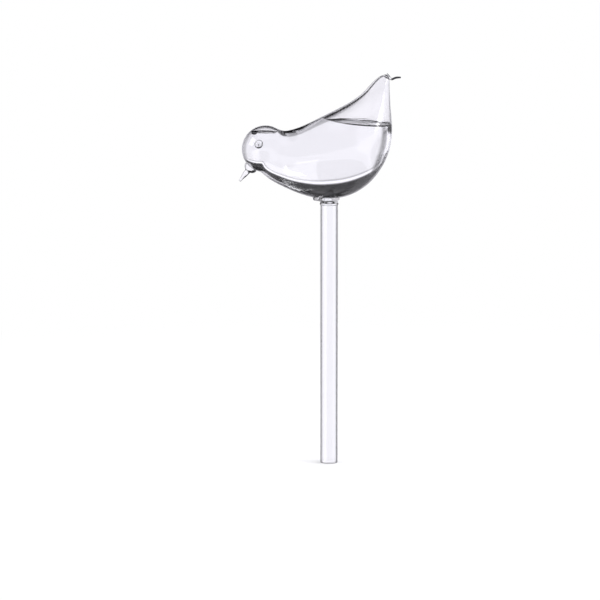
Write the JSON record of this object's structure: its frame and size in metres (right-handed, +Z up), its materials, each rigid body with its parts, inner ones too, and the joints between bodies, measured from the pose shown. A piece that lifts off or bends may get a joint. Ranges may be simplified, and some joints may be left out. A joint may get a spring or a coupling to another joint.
{
  "type": "plant watering globe",
  "caption": "Clear blown glass bird on a long open tube stem that waters a potted plant from the water it holds.",
  "frame": {"origin": "centre of the stem's open mouth, on the stem's axis", "axes": "+Z up along the stem towards the bird, -X towards the head, the XZ plane is the mirror plane"},
  "size_m": [0.111, 0.0534, 0.2698],
  "materials": {
    "blown_glass": "clear blown borosilicate glass, 1.2 mm wall, fire-polished",
    "stem_glass": "clear drawn borosilicate tube, fire-polished mouth",
    "seal_glass": "clear flame-worked glass, softly rounded",
    "bead_glass": "clear solid glass, flame-rounded",
    "water": "clear water"
  },
  "bodies": {
    "root": {"bird_bulb": "blown_glass", "stem_tube": "stem_glass", "seal_flange": "seal_glass", "seal_ring": "seal_glass", "beak": "bead_glass", "eye_left": "bead_glass", "eye_right": "bead_glass", "tail_thread": "bead_glass"}
  },
  "joints": []
}
